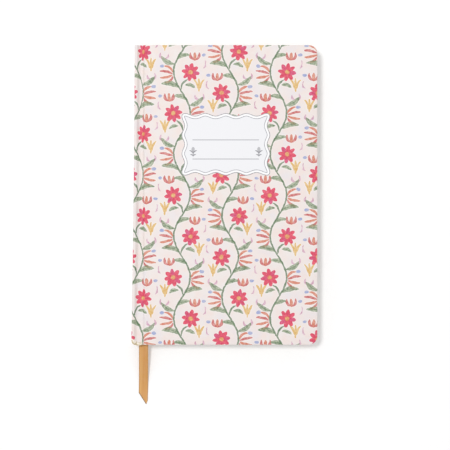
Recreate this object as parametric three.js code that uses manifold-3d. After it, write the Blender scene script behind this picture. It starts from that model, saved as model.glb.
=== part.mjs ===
import * as THREE from 'three';
import { mergeVertices } from 'three/addons/utils/BufferGeometryUtils.js';
import Module from 'manifold-3d';

// A hardcover journal that lies closed on its back cover, in millimetres.
// X runs from the spine to the fore-edge, Y from the tail to the head and Z up.
// The origin is on the table, under the middle of the cover.

const wasm = await Module();
wasm.setup();

// Air between two pieces that lie on each other
const airGap = 0.02;

// Case: two boards and a spine board in one printed paper
const coverWidth = 130;
const coverHeight = 210;
const coverCornerRadius = 6;
const boardThickness = 2;
const spineBoardThickness = 1.5;
const coverPaperThickness = 0.2;
const boardEdgePlay = 0.1;
const turnInWidth = 15;
const grooveWidth = 5.8;
const jointStripThickness = 0.35;
const grooveFlatness = 3;
const grooveSteps = 12;

// Label on the front
const labelWidth = 62;
const labelHeight = 43.7;
const labelThickness = 0.15;
const labelCentreX = 0.9;
const labelBelowHead = 69.6;
const labelWavesAcross = 4;
const labelWavesDown = 3;
const labelWaveHeight = 2.2;
const labelCornerSize = 1.8;
const labelStepsPerWave = 10;

// Pages
const square = 3;
const pageCornerRadius = 5;
const leafThickness = 0.12;
const leavesPerSignature = 8;
const signatureCount = 10;
const turningLeafCount = 4;
const endpaperThickness = 0.15;
const boundStripWidth = 5;
const foldRoundness = 0.45;
const foldSteps = 3;

// Layers on the back of the block, from the case inwards
const spineHollow = 0.1;
const liningThickness = 0.2;
const mullThickness = 0.3;
const mullShortOfHead = 10;
const threadThickness = 0.3;
const threadStationCount = 6;
const threadEndInset = 12;

// Head and tail bands
const bandHeight = 2;
const bandToRibbon = 0.15;
const bandRoundness = 0.6;

// Ribbon bookmark
const ribbonWidth = 6.5;
const ribbonThickness = 0.3;
const ribbonFromFold = 1.33;
const ribbonTabLength = 30;
const signaturesAboveRibbon = 5;
const ribbonExitGap = 0.3;
const ribbonStations = 24;
const ribbonSlantLength = 8;
const ribbonTipLength = 2.7;
const ribbonTipWidth = 0.9;

// Ribbon's centreline outside the block: sideways drift, way past the pages' tail, height on the table
const ribbonRoute = [
  [0, 0.3, 7.9],
  [0, 2.2, 7.88],
  [0, 5, 7.76],
  [-0.03, 8.2, 7.4],
  [-0.08, 11.6, 6.75],
  [-0.14, 15, 5.85],
  [-0.2, 18.4, 4.75],
  [-0.27, 21.8, 3.55],
  [-0.34, 25.2, 2.4],
  [-0.42, 28.6, 1.4],
  [-0.5, 32, 0.72],
  [-0.58, 35.4, 0.36],
  [-0.66, 38.6, 0.24],
  [-0.73, 41.4, 0.2],
  [-0.8, 44.1, 0.2],
  [-0.86, 46.65, 0.2],
];

const cornerSteps = 8;
const openEdge = 1;

// Cover in its own frame: Z from the outer face inwards
const boardBottom = coverPaperThickness + airGap;
const turnInBottom = boardBottom + boardThickness + airGap;
const turnInTop = turnInBottom + coverPaperThickness;
const pastedownBottom = turnInTop + airGap;
const coverStack = pastedownBottom + endpaperThickness;

// Heights in the block
const signatureThickness = leavesPerSignature * leafThickness;
const signaturePitch = signatureThickness + airGap;
const blockBottom = coverStack + airGap;
const firstSignatureBottom = blockBottom + endpaperThickness + airGap;
const ribbonRoom = ribbonThickness + airGap;
const ribbonBottom =
  firstSignatureBottom + (signatureCount - signaturesAboveRibbon) * signaturePitch;
const signaturesTop = firstSignatureBottom + signatureCount * signaturePitch + ribbonRoom - airGap;
const blockTop = signaturesTop + airGap + endpaperThickness;
const bookThickness = blockTop + airGap + coverStack;

// Places across the book, from the spine
const spineOuter = -coverWidth / 2;
const coverRight = coverWidth / 2;
const coverHead = coverHeight / 2;
const spineBoardOuter = spineOuter + coverPaperThickness + airGap;
const spineBoardInner = spineBoardOuter + spineBoardThickness;
const spineLipOuter = spineBoardInner + airGap;
const spineLipInner = spineLipOuter + coverPaperThickness;
const liningOuter = spineLipInner + spineHollow;
const mullOuter = liningOuter + liningThickness + airGap;
const tabOuter = mullOuter + mullThickness + airGap;
const threadOuter = tabOuter + ribbonThickness + airGap;
const foldLine = threadOuter + threadThickness + airGap;
const coverLeft = foldLine + grooveWidth;
const ribbonLeft = foldLine + ribbonFromFold;
const ribbonCentreX = ribbonLeft + ribbonWidth / 2;
const creaseX = foldLine + boundStripWidth;
const pageRight = coverRight - square;
const pageHead = coverHead - square;
const lastStation = pageHead - threadEndInset;

// Colours
const paint = (color, roughness) => new THREE.MeshStandardMaterial({ color, roughness, metalness: 0 });
const printedPaper = paint(0xf6e9e7, 0.6);
const labelPaper = paint(0xf4f4f9, 0.65);
const greyboard = paint(0xa79d92, 0.9);
const endpaper = paint(0xf7f2ea, 0.8);
const pagePaper = paint(0xfaf6ec, 0.85);
const gauze = paint(0xe9e4d6, 0.95);
const kraftPaper = paint(0xb99b74, 0.9);
const linenThread = paint(0xf2eee2, 0.8);
const bandCotton = paint(0xe0a05f, 0.8);
const satin = paint(0xd6a05f, 0.5);

// Closed mesh to solid and back, for joins and cuts
function solidFrom(geometry) {
  const bare = geometry.clone();
  bare.deleteAttribute('normal');
  bare.deleteAttribute('uv');
  const merged = mergeVertices(bare, 1e-4);
  return new wasm.Manifold(
    new wasm.Mesh({
      numProp: 3,
      vertProperties: new Float32Array(merged.attributes.position.array),
      triVerts: new Uint32Array(merged.index.array),
    }),
  );
}

function geometryFrom(solid) {
  const mesh = solid.getMesh();
  const geometry = new THREE.BufferGeometry();
  geometry.setAttribute('position', new THREE.BufferAttribute(new Float32Array(mesh.vertProperties), 3));
  geometry.setIndex(new THREE.BufferAttribute(new Uint32Array(mesh.triVerts), 1));
  geometry.computeVertexNormals();
  return geometry;
}

function joined(...geometries) {
  const [first, ...others] = geometries.map(solidFrom);
  return geometryFrom(others.reduce((whole, other) => whole.add(other), first));
}

function cut(geometry, ...tools) {
  return geometryFrom(tools.map(solidFrom).reduce((whole, tool) => whole.subtract(tool), solidFrom(geometry)));
}

function named(name, geometry, material) {
  const mesh = new THREE.Mesh(geometry, material);
  mesh.name = name;
  return mesh;
}

// Flat outline in X and Y, raised from one height to another
function raised(outline, bottom, top) {
  const geometry = new THREE.ExtrudeGeometry(outline, {
    depth: top - bottom,
    bevelEnabled: false,
    curveSegments: cornerSteps,
  });
  return geometry.translate(0, 0, bottom);
}

// Outline in X and Z, drawn out along Y from the tail side to the head side
function drawnAlongY(outline, tail, head) {
  const geometry = new THREE.ExtrudeGeometry(outline, {
    depth: head - tail,
    bevelEnabled: false,
    curveSegments: foldSteps,
  });
  const turn = new THREE.Matrix4().makeBasis(
    new THREE.Vector3(1, 0, 0),
    new THREE.Vector3(0, 0, 1),
    new THREE.Vector3(0, -1, 0),
  );
  return geometry.applyMatrix4(turn).translate(0, head, 0);
}

function block(left, right, tail, head, bottom, top) {
  const geometry = new THREE.BoxGeometry(right - left, head - tail, top - bottom);
  return geometry.translate((left + right) / 2, (tail + head) / 2, (bottom + top) / 2);
}

// Rectangle about Y = 0 with round corners at the fore-edge
function bookOutline(left, right, head, radius) {
  const outline = new THREE.Shape();
  outline.moveTo(left, -head);
  outline.lineTo(right - radius, -head);
  outline.absarc(right - radius, radius - head, radius, -Math.PI / 2, 0, false);
  outline.lineTo(right, head - radius);
  outline.absarc(right - radius, head - radius, radius, 0, Math.PI / 2, false);
  outline.lineTo(left, head);
  outline.closePath();
  return outline;
}

// Greyboard of one cover
function board() {
  const inset = coverPaperThickness + boardEdgePlay;
  const outline = bookOutline(coverLeft, coverRight - inset, coverHead - inset, coverCornerRadius - inset);
  return raised(outline, boardBottom, boardBottom + boardThickness);
}

// Printed paper over a board's outer face, round its edges and turned in on its inner face
function coverPaper() {
  const pocketEdge = coverPaperThickness;
  const whole = bookOutline(coverLeft, coverRight, coverHead, coverCornerRadius);
  const pocket = bookOutline(
    coverLeft - openEdge,
    coverRight - pocketEdge,
    coverHead - pocketEdge,
    coverCornerRadius - pocketEdge,
  );
  return cut(
    raised(whole, 0, turnInTop),
    raised(pocket, coverPaperThickness, turnInBottom),
    block(
      coverLeft - openEdge,
      coverRight - turnInWidth,
      turnInWidth - coverHead,
      coverHead - turnInWidth,
      boardBottom,
      turnInTop + openEdge,
    ),
  );
}

function pastedown() {
  const outline = bookOutline(coverLeft, pageRight, pageHead, pageCornerRadius);
  return raised(outline, pastedownBottom, coverStack);
}

// Flexible strip between spine and board, pressed into the groove until it meets the block
function jointStrip() {
  const left = spineBoardInner + airGap;
  const right = coverLeft - airGap;
  const depth = coverStack - jointStripThickness;
  const pressed = (u) => depth * (1 - Math.abs(2 * u - 1) ** grooveFlatness);
  const outer = [];
  for (let i = 0; i <= grooveSteps; i++) {
    const u = i / grooveSteps;
    outer.push(new THREE.Vector2(left + (right - left) * u, pressed(u)));
  }
  const inner = outer.map((p) => new THREE.Vector2(p.x, p.y + jointStripThickness)).reverse();
  return drawnAlongY(new THREE.Shape([...outer, ...inner]), -coverHead, coverHead);
}

// One cover, outer face down
function cover(side) {
  const group = new THREE.Group();
  group.add(
    named(side + '_board', board(), greyboard),
    named(side + '_cover_paper', coverPaper(), printedPaper),
    named(side + '_joint', jointStrip(), printedPaper),
    named(side + '_pastedown', pastedown(), endpaper),
  );
  return group;
}

// Edge of the label from one corner to the next, waving between its crests
function labelPoint(half, other, waves, t) {
  const dip = (labelWaveHeight / 2) * (1 - Math.cos(2 * Math.PI * waves * t));
  return [half * (2 * t - 1), other - dip];
}

function labelOutline() {
  const halfWidth = labelWidth / 2;
  const halfHeight = labelHeight / 2;
  const sides = [
    { half: halfWidth, other: halfHeight, waves: labelWavesAcross, turn: 0 },
    { half: halfHeight, other: halfWidth, waves: labelWavesDown, turn: -1 },
    { half: halfWidth, other: halfHeight, waves: labelWavesAcross, turn: -2 },
    { half: halfHeight, other: halfWidth, waves: labelWavesDown, turn: -3 },
  ];
  const outline = new THREE.Shape();
  sides.forEach(({ half, other, waves, turn }, side) => {
    const cornerShare = labelCornerSize / (2 * half);
    const steps = waves * labelStepsPerWave;
    const angle = (turn * Math.PI) / 2;
    const place = (along, out) => [
      along * Math.cos(angle) - out * Math.sin(angle),
      along * Math.sin(angle) + out * Math.cos(angle),
    ];
    for (let i = 0; i <= steps; i++) {
      const t = cornerShare + (1 - 2 * cornerShare) * (i / steps);
      const point = place(...labelPoint(half, other, waves, t));
      if (side === 0 && i === 0) outline.moveTo(...point);
      else if (i === 0) outline.quadraticCurveTo(...place(-half, other), ...point);
      else outline.lineTo(...point);
    }
  });
  const first = labelPoint(halfWidth, halfHeight, labelWavesAcross, labelCornerSize / labelWidth);
  outline.quadraticCurveTo(-halfWidth, halfHeight, ...first);
  return outline;
}

function coverLabel() {
  const mesh = named('cover_label', raised(labelOutline(), 0, labelThickness), labelPaper);
  mesh.position.set(labelCentreX, coverHead - labelBelowHead, bookThickness + airGap);
  return mesh;
}

// Spine board, as tall as the closed book is thick
function spineBoard() {
  const end = coverHead - coverPaperThickness - boardEdgePlay;
  return block(spineBoardOuter, spineBoardInner, -end, end, boardBottom, bookThickness - boardBottom);
}

// Printed paper round the spine board, turned in behind its ends
function spinePaper() {
  const inner = spineBoardInner;
  const wall = (left, right, tail, head, bottom, top) => block(left, right, tail, head, bottom, top);
  const wallInner = spineOuter + coverPaperThickness;
  const pieces = [
    wall(spineOuter, wallInner, -coverHead, coverHead, 0, bookThickness),
    wall(spineOuter, inner, -coverHead, coverHead, 0, coverPaperThickness),
    wall(spineOuter, inner, -coverHead, coverHead, bookThickness - coverPaperThickness, bookThickness),
  ];
  for (const end of [-1, 1]) {
    const outerEnd = end * coverHead;
    const innerEnd = end * (coverHead - coverPaperThickness);
    const lipEnd = end * (coverHead - turnInWidth);
    const low = Math.min(outerEnd, innerEnd);
    const high = Math.max(outerEnd, innerEnd);
    pieces.push(wall(spineOuter, inner, low, high, 0, bookThickness));
    pieces.push(wall(spineOuter, spineLipInner, low, high, blockBottom, blockTop));
    pieces.push(
      wall(
        spineLipOuter,
        spineLipInner,
        Math.min(outerEnd, lipEnd),
        Math.max(outerEnd, lipEnd),
        blockBottom,
        blockTop,
      ),
    );
  }
  return joined(...pieces);
}

// Folded sheets with a rounded fold at the spine
function signature(bottom, top) {
  const nose = foldRoundness;
  const fold = new THREE.Shape();
  fold.moveTo(foldLine + nose, bottom);
  fold.lineTo(pageRight + openEdge, bottom);
  fold.lineTo(pageRight + openEdge, top);
  fold.lineTo(foldLine + nose, top);
  fold.quadraticCurveTo(foldLine, top, foldLine, (bottom + top) / 2);
  fold.quadraticCurveTo(foldLine, bottom, foldLine + nose, bottom);
  const edges = bookOutline(foldLine - openEdge, pageRight, pageHead, pageCornerRadius);
  const sheets = solidFrom(drawnAlongY(fold, -coverHead, coverHead));
  return geometryFrom(sheets.intersect(solidFrom(raised(edges, bottom - openEdge, top + openEdge))));
}

const signatureBottom = (number) =>
  firstSignatureBottom +
  (signatureCount - number) * signaturePitch +
  (number <= signaturesAboveRibbon ? ribbonRoom : 0);

// First signature, without the leaves that turn
function firstSignature() {
  const bottom = signatureBottom(1);
  const top = bottom + signatureThickness;
  const turning = block(
    creaseX - airGap,
    pageRight + openEdge,
    -coverHead,
    coverHead,
    top - turningLeafCount * leafThickness,
    top + openEdge,
  );
  return cut(signature(bottom, top), turning);
}

function turningLeaf(number) {
  const top = signaturesTop - (number - 1) * leafThickness;
  const outline = bookOutline(creaseX, pageRight, pageHead, pageCornerRadius);
  return raised(outline, top - leafThickness + airGap, top);
}

// Endpaper's leaf, and the strip by its fold that is pasted to the block
function flyleaf(bottom) {
  const outline = bookOutline(creaseX, pageRight, pageHead, pageCornerRadius);
  return raised(outline, bottom, bottom + endpaperThickness);
}

function endpaperFold(bottom) {
  return block(foldLine, creaseX - airGap, -pageHead, pageHead, bottom, bottom + endpaperThickness);
}

// One thread, up and down over the folds and along the spine between its stations
function sewingThread() {
  const low = signatureBottom(signatureCount) + signatureThickness / 2;
  const high = signatureBottom(1) + signatureThickness / 2;
  const right = threadOuter + threadThickness;
  const half = threadThickness / 2;
  const apart = (2 * lastStation) / (threadStationCount - 1);
  const pieces = [];
  for (let i = 0; i < threadStationCount; i++) {
    const y = i * apart - lastStation;
    pieces.push(block(threadOuter, right, y - half, y + half, low, high));
    const level = i % 2 ? low : high;
    if (i < threadStationCount - 1) {
      pieces.push(block(threadOuter, right, y - half, y + apart + half, level - half, level + half));
    }
  }
  return joined(...pieces);
}

// Bead across the end of the spine, round on its outer side
function endBand(end) {
  const left = threadOuter;
  const right = ribbonLeft - bandToRibbon;
  const base = pageHead + airGap;
  const top = base + bandHeight;
  const outline = new THREE.Shape();
  outline.moveTo(left, base);
  outline.lineTo(right, base);
  outline.lineTo(right, top - bandRoundness);
  outline.quadraticCurveTo(right, top, right - bandRoundness, top);
  outline.lineTo(left + bandRoundness, top);
  outline.quadraticCurveTo(left, top, left, top - bandRoundness);
  outline.closePath();
  const bead = new THREE.Mesh(raised(outline, 0, signaturesTop - firstSignatureBottom), bandCotton);
  bead.position.z = firstSignatureBottom;
  if (end < 0) {
    bead.rotation.x = Math.PI;
    bead.position.z = signaturesTop;
  }
  return bead;
}

// Ribbon: glued to the spine at the head, between two signatures, and free past the tail
function ribbonTab() {
  const middle = ribbonBottom + ribbonThickness / 2;
  return block(
    tabOuter,
    tabOuter + ribbonThickness,
    pageHead - ribbonTabLength,
    pageHead,
    middle - ribbonWidth / 2,
    middle + ribbonWidth / 2,
  );
}

function ribbonInside() {
  const right = ribbonLeft + ribbonWidth;
  return block(ribbonLeft, right, -pageHead, pageHead, ribbonBottom, ribbonBottom + ribbonThickness);
}

function ribbonCurve() {
  const drop = ribbonBottom + ribbonThickness / 2 - ribbonRoute[0][2];
  const start = ribbonRoute[0][1];
  const run = ribbonRoute[ribbonRoute.length - 1][1] - start;
  const points = ribbonRoute.map(([drift, past, height]) => {
    const held = Math.max(0, 1 - (past - start) / (run / 2));
    return new THREE.Vector3(
      ribbonCentreX + drift,
      -pageHead - ribbonExitGap - (past - start),
      Math.max(height + drop * held, ribbonThickness / 2),
    );
  });
  return new THREE.CatmullRomCurve3(points, false, 'centripetal');
}

// Flat strip along the curve, cut to a slanted point at its end
function ribbonTail() {
  const curve = ribbonCurve();
  const length = curve.getLength();
  const half = ribbonWidth / 2;
  const slantStart = length - ribbonSlantLength;
  const tipStart = length - ribbonTipLength;
  const distances = [];
  for (let i = 0; i < ribbonStations; i++) distances.push((slantStart * i) / (ribbonStations - 1));
  distances.push(tipStart, length);
  const positions = [];
  const indices = [];
  distances.forEach((distance) => {
    const at = curve.getPointAt(distance / length);
    const along = curve.getTangentAt(distance / length);
    const up = new THREE.Vector3(0, along.z, -along.y).normalize().multiplyScalar(ribbonThickness / 2);
    const past = Math.max(0, distance - slantStart) / ribbonSlantLength;
    const blunt = Math.max(0, distance - tipStart) / ribbonTipLength;
    const right = half - ribbonTipWidth * blunt;
    const left = -half + (2 * half - 2 * ribbonTipWidth) * past;
    for (const [side, lift] of [[left, -1], [right, -1], [right, 1], [left, 1]]) {
      positions.push(at.x + side, at.y + up.y * lift, at.z + up.z * lift);
    }
  });
  const quad = (a, b, c, d) => indices.push(a, c, b, a, d, c);
  quad(0, 1, 2, 3);
  for (let i = 1; i < distances.length; i++) {
    const near = 4 * (i - 1);
    const far = 4 * i;
    for (let k = 0; k < 4; k++) {
      const next = (k + 1) % 4;
      quad(near + next, near + k, far + k, far + next);
    }
  }
  const last = 4 * (distances.length - 1);
  quad(last + 3, last + 2, last + 1, last);
  const geometry = new THREE.BufferGeometry();
  geometry.setAttribute('position', new THREE.Float32BufferAttribute(positions, 3));
  geometry.setIndex(indices);
  geometry.computeVertexNormals();
  return geometry;
}

// Sewn pages with what is glued to their spine
function textBlock() {
  const group = new THREE.Group();
  group.add(named('signature_01', firstSignature(), pagePaper));
  for (let number = 2; number <= signatureCount; number++) {
    const bottom = signatureBottom(number);
    const name = 'signature_' + String(number).padStart(2, '0');
    group.add(named(name, signature(bottom, bottom + signatureThickness), pagePaper));
  }
  for (let number = 1; number <= turningLeafCount; number++) {
    group.add(named('leaf_' + String(number).padStart(2, '0'), turningLeaf(number), pagePaper));
  }
  const frontPaper = blockTop - endpaperThickness;
  const mullEnd = pageHead - mullShortOfHead;
  const headBand = endBand(1);
  headBand.name = 'head_band';
  const tailBand = endBand(-1);
  tailBand.name = 'tail_band';
  group.add(
    named('front_flyleaf', flyleaf(frontPaper), endpaper),
    named('back_flyleaf', flyleaf(blockBottom), endpaper),
    named('front_endpaper_fold', endpaperFold(frontPaper), endpaper),
    named('back_endpaper_fold', endpaperFold(blockBottom), endpaper),
    named('sewing_thread', sewingThread(), linenThread),
    named(
      'spine_mull',
      block(mullOuter, mullOuter + mullThickness, -mullEnd, mullEnd, blockBottom, blockTop),
      gauze,
    ),
    named(
      'spine_lining',
      block(liningOuter, liningOuter + liningThickness, -pageHead, pageHead, blockBottom, blockTop),
      kraftPaper,
    ),
    headBand,
    tailBand,
    named('ribbon_tab', ribbonTab(), satin),
    named('ribbon_inside', ribbonInside(), satin),
    named('ribbon_tail', ribbonTail(), satin),
  );
  return group;
}

function spine() {
  const group = new THREE.Group();
  group.add(named('spine_board', spineBoard(), greyboard), named('spine_paper', spinePaper(), printedPaper));
  return group;
}

const backCover = cover('back');
const frontCover = cover('front');
frontCover.rotation.x = Math.PI;
frontCover.position.z = bookThickness;

const journal = new THREE.Group();
journal.add(backCover, textBlock(), spine(), frontCover, coverLabel());

export default journal;
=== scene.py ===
# A printed hardcover journal, dressed around its CAD frame.
# Lengths are in millimetres until a mesh is made, and in metres in Blender.
import math

import bpy
import numpy as np
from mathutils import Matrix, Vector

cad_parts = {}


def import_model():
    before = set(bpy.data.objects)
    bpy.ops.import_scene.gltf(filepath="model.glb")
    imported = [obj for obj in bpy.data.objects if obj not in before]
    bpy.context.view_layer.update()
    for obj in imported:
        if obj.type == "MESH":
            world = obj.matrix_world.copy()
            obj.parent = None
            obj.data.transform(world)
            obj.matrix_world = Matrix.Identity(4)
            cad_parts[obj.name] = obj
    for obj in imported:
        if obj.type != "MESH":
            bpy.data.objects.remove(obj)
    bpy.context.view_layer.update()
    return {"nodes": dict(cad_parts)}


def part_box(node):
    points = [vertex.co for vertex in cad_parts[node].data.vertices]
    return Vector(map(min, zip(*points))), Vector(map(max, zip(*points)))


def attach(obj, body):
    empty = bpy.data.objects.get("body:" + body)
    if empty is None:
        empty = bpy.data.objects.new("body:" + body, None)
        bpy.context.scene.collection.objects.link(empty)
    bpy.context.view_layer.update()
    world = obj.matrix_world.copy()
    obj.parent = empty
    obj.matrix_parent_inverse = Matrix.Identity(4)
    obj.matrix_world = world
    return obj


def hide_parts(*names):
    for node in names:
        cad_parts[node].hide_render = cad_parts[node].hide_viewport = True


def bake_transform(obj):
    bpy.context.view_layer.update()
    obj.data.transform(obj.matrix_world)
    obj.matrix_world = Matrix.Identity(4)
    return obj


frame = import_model()
NODES = frame["nodes"]
METRE = 0.001
PER_METRE = 1000.0

# Sizes shared with the frame
BOOK_TOP = 15.7
MIDDLE = BOOK_TOP / 2
COVER_RIGHT, COVER_HEAD, COVER_CORNER = 65.0, 105.0, 6.0
COVER_STACK = 2.44
PAPER = 0.2
TURN_IN = 15.0
FOLD_X = -61.78
CREASE_X = -56.78
PAGE_RIGHT, PAGE_HEAD, PAGE_CORNER = 62.0, 102.0, 5.0
ENDPAPER = 0.15
GAP = 0.02
LEAF_PITCH, LEAF_THICK = 0.12, 0.1
SIGNATURES_TOP, BLOCK_TOP, BLOCK_BOTTOM = 12.9, 13.07, 2.63
HINGE_START, HINGE_END = -60.6, -56.0

# The spine leans: its push at mid height, the push for each millimetre towards the head, and the bow
# between its ends. The lean starts at LEAN_EDGE and is whole LEAN_FADE further left.
LEAN_MEAN, LEAN_SLOPE, LEAN_BOW = 0.8, 0.01143, 0.45
LEAN_EDGE, LEAN_FADE = -56.3, 6.0
# The tail of the spine is worn: its corner is pressed in, and the end of the groove bulges
WORN_FROM, WORN_FADE = -97.0, 6.0
WORN_X, WORN_WIDTH, WORN_DEPTH, WORN_MOST = -62.3, 2.7, 1.9, 1.2
BULGE_X, BULGE_WIDTH, BULGE = -60.2, 1.9, 0.75

LINE_STEP, CASE_STEP = 0.5, 0.32


# Geometry helpers
def smoothstep(t):
    t = np.clip(t, 0.0, 1.0)
    return t * t * (3 - 2 * t)


def lean(y):
    """How far the spine is pushed towards the fore-edge, most at the head."""
    return LEAN_MEAN + LEAN_SLOPE * y + LEAN_BOW * (1 - (y / COVER_HEAD) ** 2)


def rolled(points, outward=True):
    """Shears the spine side by the lean. With outward off, nothing moves away from the pages."""
    points = np.array(points, float)
    share = smoothstep((LEAN_EDGE - points[:, 0]) / LEAN_FADE)
    push = lean(points[:, 1])
    points[:, 0] += share * (push if outward else np.maximum(push, 0))
    return points


def worn_end(points):
    """Presses in the corner at the tail of the spine, and lets the end of the groove bulge a little."""
    points = np.array(points, float)
    share = smoothstep((WORN_FROM - points[:, 1]) / WORN_FADE)
    corner = np.clip((WORN_X - points[:, 0]) / WORN_WIDTH, 0, WORN_MOST)
    bulge = BULGE * np.exp(-(((points[:, 0] - BULGE_X) / BULGE_WIDTH) ** 2))
    points[:, 1] += share * (WORN_DEPTH * corner**2 - bulge * (1 - np.clip(corner, 0, 1)))
    return points


def node_box(node):
    """A node's lowest and highest corners at rest, in millimetres."""
    return [np.array(corner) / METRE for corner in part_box(node)]


def dress(piece, slot, body, *nodes):
    """Puts a piece in the place of its nodes, on their body. The slot is not used."""
    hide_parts(*nodes)
    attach(piece, body)


def dress_bent(piece, slot, body, start, end, *nodes):
    """For a piece between the text block and another body: hides its nodes and bakes its place into its
    mesh. The slot, body, start and end are not used.
    """
    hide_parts(*nodes)
    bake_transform(piece)


def run_along(points):
    """How far along a line each of its points lies."""
    return np.concatenate([[0], np.cumsum(np.linalg.norm(np.diff(points, axis=0), axis=1))])


def spline(points, step):
    """Points about a step apart on a centripetal Catmull-Rom curve through the given ones."""
    points = np.array(points, float)
    ends = [2 * points[0] - points[1], *points, 2 * points[-1] - points[-2]]
    out = [points[0]]
    for four in zip(ends, ends[1:], ends[2:], ends[3:]):
        gaps = [max(np.linalg.norm(b - a), 1e-6) ** 0.5 for a, b in zip(four, four[1:])]
        knots = np.cumsum([0] + gaps)

        def between(p, q, i, j, t):
            span = knots[j] - knots[i]
            return (knots[j] - t) / span * p + (t - knots[i]) / span * q

        count = max(1, round(np.linalg.norm(four[2] - four[1]) / step))
        for t in np.linspace(knots[1], knots[2], count + 1)[1:]:
            a = [between(four[k], four[k + 1], k, k + 1, t) for k in range(3)]
            b = [between(a[k], a[k + 1], k, k + 2, t) for k in range(2)]
            out.append(between(b[0], b[1], 1, 2, t))
    return np.array(out)


def grid(rows, columns, start=0, around=False):
    """Faces of a grid of vertices, row by row; around joins the last column to the first."""
    faces = []
    for r in range(rows - 1):
        for c in range(columns if around else columns - 1):
            d = (c + 1) % columns
            a, b = start + r * columns, start + (r + 1) * columns
            faces.append((a + c, a + d, b + d, b + c))
    return faces


def capped(rows, columns):
    """Faces of a closed bar: its sides and its two ends."""
    last = columns * (rows - 1)
    ends = [tuple(reversed(range(columns))), tuple(range(last, last + columns))]
    return grid(rows, columns, around=True) + ends


def placed(name, data):
    thing = bpy.data.objects.new(name, data)
    bpy.context.scene.collection.objects.link(thing)
    return thing


def make(name, points, faces, materials, flat, slots=None, sharp=40, values=None):
    """A mesh object from points in millimetres, and the UV map of its flat sheet."""
    mesh = bpy.data.meshes.new(name)
    points = np.array(points, float)
    fans = np.array([(f[0], f[k], f[k + 1]) for f in faces for k in range(1, len(f) - 1)])
    a, b, c = points[fans[:, 0]], points[fans[:, 1]], points[fans[:, 2]]
    if np.einsum("ij,ij->i", a, np.cross(b, c)).sum() < 0:
        faces = [f[::-1] for f in faces]
    mesh.from_pydata([tuple(p) for p in points * METRE], [], faces)
    for material in materials:
        mesh.materials.append(material)
    if slots is not None:
        mesh.polygons.foreach_set("material_index", slots)
    flat = np.array(flat, float) * METRE
    loops = np.zeros(len(mesh.loops), np.int32)
    mesh.loops.foreach_get("vertex_index", loops)
    layer = mesh.uv_layers.new(name="flat")
    layer.data.foreach_set("uv", flat[loops].astype(np.float32).ravel())
    for key, row in (values or {}).items():
        attribute = mesh.attributes.new(key, "FLOAT", "POINT")
        attribute.data.foreach_set("value", np.array(row, np.float32))
    mesh.polygons.foreach_set("use_smooth", [True] * len(mesh.polygons))
    mesh.set_sharp_from_angle(angle=math.radians(sharp))
    mesh.validate()
    return placed(name, mesh)


def shell(name, outer, inner, faces, materials, flat, values=None):
    """A closed sheet between two faces with one topology. Points that coincide become one."""
    index, order, remap = {}, [], []
    for i, pair in enumerate(np.round(np.hstack([outer, inner]), 3)):
        key = tuple(pair + 0.0)
        if key not in index:
            index[key] = len(order)
            order.append(i)
        remap.append(index[key])
    kept, directed = [], set()
    for face in faces:
        ring = [remap[i] for i in face]
        ring = [v for k, v in enumerate(ring) if v != ring[k - 1]]
        if len(set(ring)) > 2:
            kept.append(ring)
            directed.update(zip(ring, ring[1:] + ring[:1]))
    count = len(order)
    under = [[v + count for v in reversed(ring)] for ring in kept]
    rim = [[b, a, a + count, b + count] for a, b in sorted(directed) if (b, a) not in directed]
    points = np.vstack([np.array(outer)[order], np.array(inner)[order]])
    flat = np.array(flat)[order]
    slots = [0] * len(kept) + [len(materials) - 1] * len(under) + [0] * len(rim)
    values = {k: np.tile(np.array(v)[order], 2) for k, v in (values or {}).items()}
    flat = np.vstack([flat, flat])
    return make(name, points, kept + under + rim, materials, flat, slots, values=values)


def sheet(name, rows, low, high, material, outward=True, middle=0.0, tone=None):
    """A flat closed sheet between two heights, from rows of y and its xs, sheared by the lean."""
    flat = [(x - middle, y) for y, xs in rows for x in xs]
    faces = grid(len(rows), len(rows[0][1]))
    outer = rolled([(x + middle, y, high) for x, y in flat], outward)
    inner = rolled([(x + middle, y, low) for x, y in flat], outward)
    values = {} if tone is None else {"tone": [tone] * len(flat)}
    return shell(name, outer, inner, faces, [material], flat, values)


def tube(name, path, radius, sides, material):
    """A round closed tube along a path."""
    points, flat = [], []
    travelled = 0.0
    side = None
    for i, at in enumerate(path):
        along = path[min(i + 1, len(path) - 1)] - path[max(i - 1, 0)]
        along /= np.linalg.norm(along)
        if side is None:
            side = np.cross(along, (0.3, 0.5, 0.8))
        side = side - along * side.dot(along)
        side /= np.linalg.norm(side)
        up = np.cross(along, side)
        travelled += np.linalg.norm(at - path[max(i - 1, 0)])
        for k in range(sides):
            turn = 2 * math.pi * k / sides
            points.append(at + radius * (math.cos(turn) * side + math.sin(turn) * up))
            flat.append((turn * radius, travelled))
    return make(name, points, capped(len(path), sides), [material], flat, sharp=60)


def rounded(left, right, low, high, radius, steps=4):
    """Ring of a rectangle with round corners, anticlockwise in (x, z)."""
    ring = []
    corners = ((right - radius, low + radius, -90), (right - radius, high - radius, 0))
    corners += ((left + radius, high - radius, 90), (left + radius, low + radius, 180))
    for x, z, start in corners:
        for k in range(steps + 1):
            a = math.radians(start + 90 * k / steps)
            ring.append((x + radius * math.cos(a), z + radius * math.sin(a)))
    return ring


def page_right(y):
    """Fore-edge of a page, with its round corners."""
    past = np.maximum(np.abs(y) - (PAGE_HEAD - PAGE_CORNER), 0)
    return PAGE_RIGHT - (PAGE_CORNER - np.sqrt(np.maximum(PAGE_CORNER**2 - past**2, 0)))


def page_rows():
    """Heights of a page's rows of vertices, close together at the round corners."""
    corner = PAGE_HEAD - PAGE_CORNER + PAGE_CORNER * np.sin(np.radians(np.linspace(0, 90, 8)))
    inner = np.linspace(-corner[0], corner[0], 13)[1:-1]
    return np.concatenate([-corner[::-1], inner, corner])


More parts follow.
